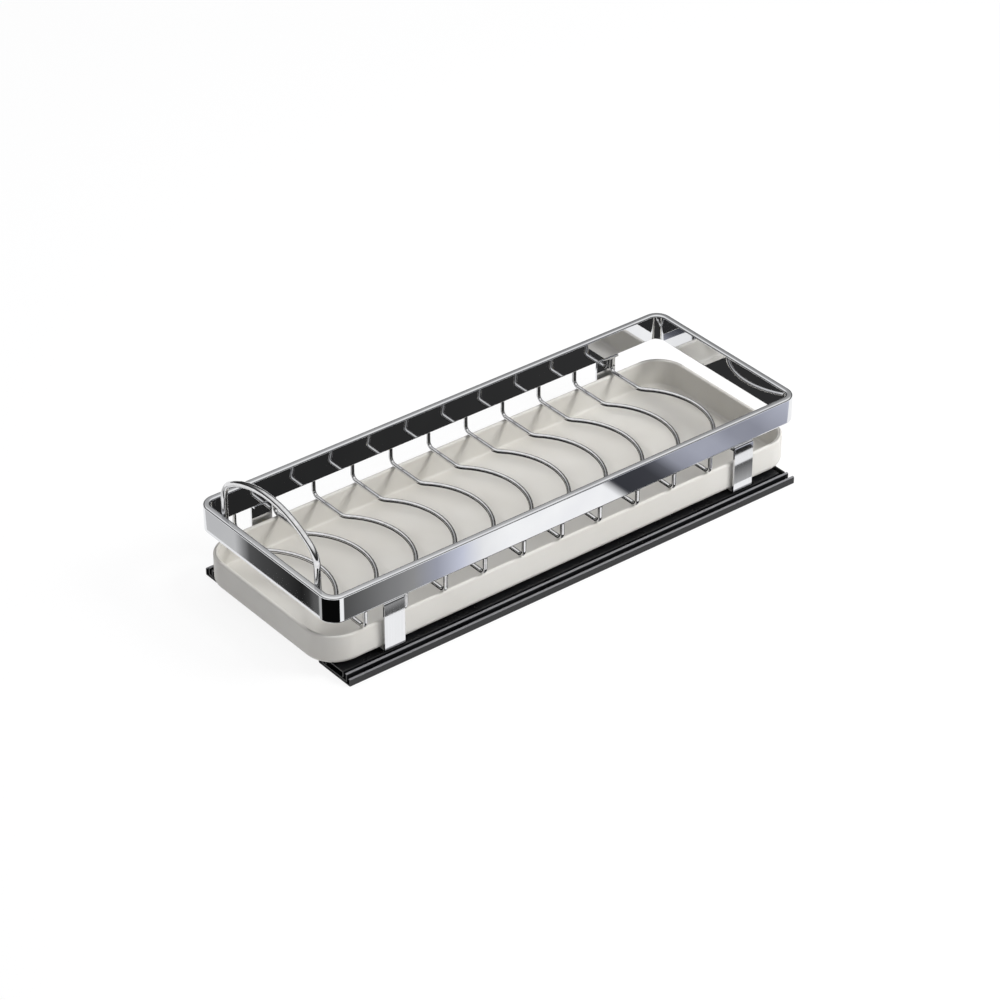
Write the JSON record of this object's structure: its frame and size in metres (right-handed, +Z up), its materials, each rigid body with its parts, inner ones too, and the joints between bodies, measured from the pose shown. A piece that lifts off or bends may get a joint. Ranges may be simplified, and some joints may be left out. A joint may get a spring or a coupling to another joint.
{
  "type": "pull-out dish rack",
  "caption": "Narrow pull-out dish rack: a polished band basket with bowed cross wires and a handle, on two ball slides over a drip tray.",
  "frame": {"origin": "centre of the rack's underside, on the cabinet floor between the two slides, with the basket pushed in", "axes": "+Z up, +Y towards the back of the cabinet, so the handle is at -Y, and +X to the right seen from the front"},
  "size_m": [0.2118, 0.526, 0.1397],
  "materials": {
    "polished_steel": "polished stainless steel",
    "bracket_steel": "bright satin stainless steel",
    "tray_plastic": "milky moulded polypropylene",
    "slide_steel": "black e-coated steel",
    "cage_plastic": "black moulded plastic",
    "ball_steel": "ground and greased steel",
    "plated_steel": "bright zinc plate",
    "stop_rubber": "matt black rubber"
  },
  "bodies": {
    "cabinet_channels": {"left_outer_channel": "slide_steel", "right_outer_channel": "slide_steel", "left_rear_stop": "stop_rubber", "right_rear_stop": "stop_rubber"},
    "basket": {"rim_band": "polished_steel", "handle": "polished_steel", "cross_wire_01": "polished_steel", "cross_wire_02": "polished_steel", "cross_wire_03": "polished_steel", "cross_wire_04": "polished_steel", "cross_wire_05": "polished_steel", "cross_wire_06": "polished_steel", "cross_wire_07": "polished_steel", "cross_wire_08": "polished_steel", "cross_wire_09": "polished_steel", "cross_wire_10": "polished_steel", "cross_wire_11": "polished_steel", "front_left_bracket": "bracket_steel", "front_right_bracket": "bracket_steel", "rear_left_bracket": "bracket_steel", "rear_right_bracket": "bracket_steel", "bracket_screws": "plated_steel", "bracket_nuts": "plated_steel", "left_inner_channel": "slide_steel", "right_inner_channel": "slide_steel"},
    "tray": {"drip_tray": "tray_plastic"},
    "left_middle_member": {"left_middle_channel": "slide_steel"},
    "left_outer_ball_cage": {"left_outer_cage": "cage_plastic", "left_outer_balls": "ball_steel"},
    "left_inner_ball_cage": {"left_inner_cage": "cage_plastic", "left_inner_balls": "ball_steel"},
    "right_middle_member": {"right_middle_channel": "slide_steel"},
    "right_outer_ball_cage": {"right_outer_cage": "cage_plastic", "right_outer_balls": "ball_steel"},
    "right_inner_ball_cage": {"right_inner_cage": "cage_plastic", "right_inner_balls": "ball_steel"}
  },
  "joints": [
    {"name": "basket_slide", "type": "slide", "parent": "cabinet_channels", "child": "basket", "axis": [0, -1, 0], "range_m": [0, 0.48]},
    {"name": "tray_slide", "type": "slide", "parent": "basket", "child": "tray", "axis": [0, -1, 0], "range_m": [0, 0.2]},
    {"name": "left_middle_member_slide", "type": "slide", "parent": "cabinet_channels", "child": "left_middle_member", "axis": [0, -1, 0], "range_m": [0, 0.24]},
    {"name": "left_outer_ball_cage_slide", "type": "slide", "parent": "cabinet_channels", "child": "left_outer_ball_cage", "axis": [0, -1, 0], "range_m": [0, 0.12]},
    {"name": "left_inner_ball_cage_slide", "type": "slide", "parent": "cabinet_channels", "child": "left_inner_ball_cage", "axis": [0, -1, 0], "range_m": [0, 0.36]},
    {"name": "right_middle_member_slide", "type": "slide", "parent": "cabinet_channels", "child": "right_middle_member", "axis": [0, -1, 0], "range_m": [0, 0.24]},
    {"name": "right_outer_ball_cage_slide", "type": "slide", "parent": "cabinet_channels", "child": "right_outer_ball_cage", "axis": [0, -1, 0], "range_m": [0, 0.12]},
    {"name": "right_inner_ball_cage_slide", "type": "slide", "parent": "cabinet_channels", "child": "right_inner_ball_cage", "axis": [0, -1, 0], "range_m": [0, 0.36]}
  ],
  "couplings": [
    {"joint": "left_middle_member_slide", "follows": "basket_slide", "ratio": 0.5},
    {"joint": "left_outer_ball_cage_slide", "follows": "basket_slide", "ratio": 0.25},
    {"joint": "left_inner_ball_cage_slide", "follows": "basket_slide", "ratio": 0.75},
    {"joint": "right_middle_member_slide", "follows": "basket_slide", "ratio": 0.5},
    {"joint": "right_outer_ball_cage_slide", "follows": "basket_slide", "ratio": 0.25},
    {"joint": "right_inner_ball_cage_slide", "follows": "basket_slide", "ratio": 0.75}
  ]
}
